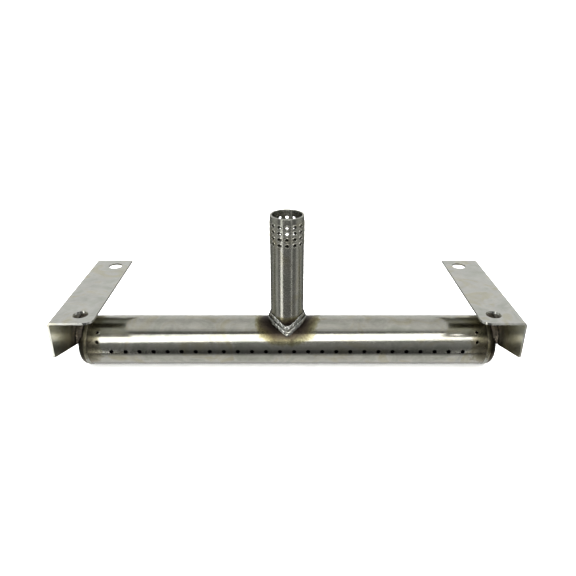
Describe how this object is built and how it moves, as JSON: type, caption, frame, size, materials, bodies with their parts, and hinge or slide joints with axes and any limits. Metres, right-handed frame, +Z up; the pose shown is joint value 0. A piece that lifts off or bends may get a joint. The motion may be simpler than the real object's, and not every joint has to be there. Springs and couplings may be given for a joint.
{
  "type": "gas burner assembly",
  "caption": "Straight tubular gas burner with rows of side ports, a central perforated inlet tube and two folded hanging brackets.",
  "frame": {"origin": "middle of the four bracket bolt holes, in the plane of the brackets' top faces", "axes": "+X along the burner tube, +Z up the inlet tube, -Y the front, where the lighting ports are"},
  "size_m": [0.321, 0.11, 0.122],
  "materials": {
    "tube_steel": "mill-finish welded stainless tube, drawn lines along its length",
    "cap_steel": "pressed stainless cap, darkened by the welds beside it",
    "sheet_steel": "dull cold-rolled stainless sheet",
    "weld_metal": "rippled weld bead with heat tint"
  },
  "bodies": {
    "root": {"burner_tube": "tube_steel", "inlet_tube": "tube_steel", "inlet_weld": "weld_metal", "end_cap_left": "cap_steel", "end_cap_right": "cap_steel", "cap_weld_left": "weld_metal", "cap_weld_right": "weld_metal", "bracket_left": "sheet_steel", "bracket_right": "sheet_steel", "bracket_weld_left": "weld_metal", "bracket_weld_right": "weld_metal"}
  },
  "joints": []
}
